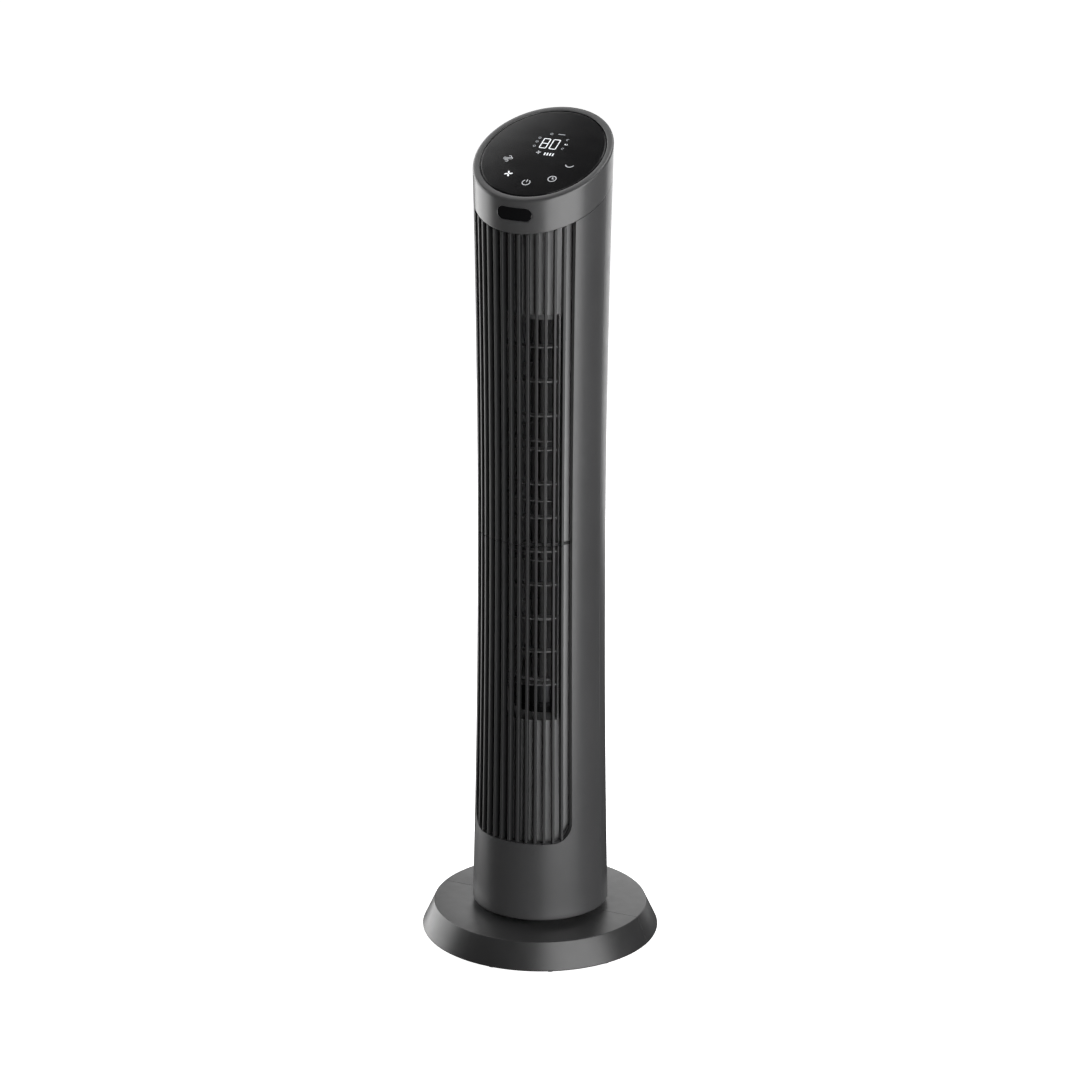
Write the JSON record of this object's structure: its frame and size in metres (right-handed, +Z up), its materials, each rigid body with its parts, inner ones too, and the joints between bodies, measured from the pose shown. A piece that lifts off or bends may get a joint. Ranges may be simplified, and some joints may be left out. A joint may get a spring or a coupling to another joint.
{
  "type": "tower fan",
  "caption": "Slim waisted tower fan with a ribbed front outlet, slanted touch panel, cross-flow impeller and a swinging column on a round base.",
  "frame": {"origin": "on the floor, under the middle of the base", "axes": "+Z up, the outlet and the touch panel's low edge face -Y, +X on the right of someone who looks at the front"},
  "size_m": [0.284, 0.2844, 0.9993],
  "materials": {
    "shell": "satin charcoal moulded plastic with a very fine spark-eroded grain",
    "rim": "satin charcoal moulded plastic, a little smoother than the shells",
    "base_plastic": "satin charcoal moulded plastic with a fine grain",
    "grille_plastic": "satin charcoal moulded ribs",
    "inner_plastic": "dark grey moulded plastic, unpolished",
    "impeller_plastic": "dark glass-filled plastic blades",
    "panel": "high-gloss black touch panel with printed dim icons",
    "window": "gloss black infrared window",
    "foot_rubber": "matt black rubber",
    "bearing_rubber": "matt black rubber",
    "gland_rubber": "matt black rubber",
    "steel": "zinc-plated steel",
    "motor_steel": "pressed zinc-plated motor can",
    "bronze": "sintered bronze, matt",
    "nylon": "natural white engineering plastic",
    "board": "green circuit board with solder resist"
  },
  "bodies": {
    "base": {"foot_01": "foot_rubber", "foot_02": "foot_rubber", "foot_03": "foot_rubber", "foot_04": "foot_rubber", "foot_05": "foot_rubber", "foot_06": "foot_rubber", "foot_07": "foot_rubber", "foot_08": "foot_rubber", "foot_09": "foot_rubber", "foot_10": "foot_rubber", "foot_11": "foot_rubber", "foot_12": "foot_rubber", "base_front_half": "base_plastic", "base_rear_half": "base_plastic", "neck": "inner_plastic", "slip_washer": "nylon", "sector_gear": "nylon", "cord_gland": "gland_rubber", "neck_screw_1": "steel", "neck_screw_2": "steel", "neck_screw_3": "steel", "neck_screw_4": "steel"},
    "column": {"turntable_screw_1": "steel", "turntable_screw_2": "steel", "turntable_screw_3": "steel", "turntable_screw_4": "steel", "turntable": "inner_plastic", "louvre_frame": "inner_plastic", "scroll_wall": "inner_plastic", "vortex_tongue": "inner_plastic", "motor_plate": "inner_plastic", "bearing_plate": "inner_plastic", "retaining_ring": "steel", "fan_motor": "motor_steel", "swing_motor": "motor_steel", "front_shell": "shell", "rear_shell": "shell", "head_ring": "rim", "grille_lower": "grille_plastic", "grille_upper": "grille_plastic", "intake_grille": "grille_plastic", "touch_panel": "panel", "receiver_window": "window", "bearing_bush": "bronze", "bearing_cushion": "bearing_rubber", "display_board": "board", "power_board": "board"},
    "impeller": {"impeller": "impeller_plastic", "motor_shaft": "steel", "top_pin": "steel"},
    "pinion": {"pinion": "nylon"}
  },
  "joints": [
    {"name": "swing", "type": "hinge", "parent": "base", "child": "column", "pos_m": [0, 0, 0.043], "axis": [0, 0, 1], "range_deg": [-40, 40]},
    {"name": "impeller_spin", "type": "hinge", "parent": "column", "child": "impeller", "pos_m": [0, 0.006, 0.5], "axis": [0, 0, 1], "continuous": true},
    {"name": "pinion_spin", "type": "hinge", "parent": "column", "child": "pinion", "pos_m": [0, 0.039, 0.039], "axis": [0, 0, 1], "range_deg": [-134, 134]}
  ],
  "couplings": [
    {"joint": "pinion_spin", "follows": "swing", "ratio": 3.3333}
  ]
}
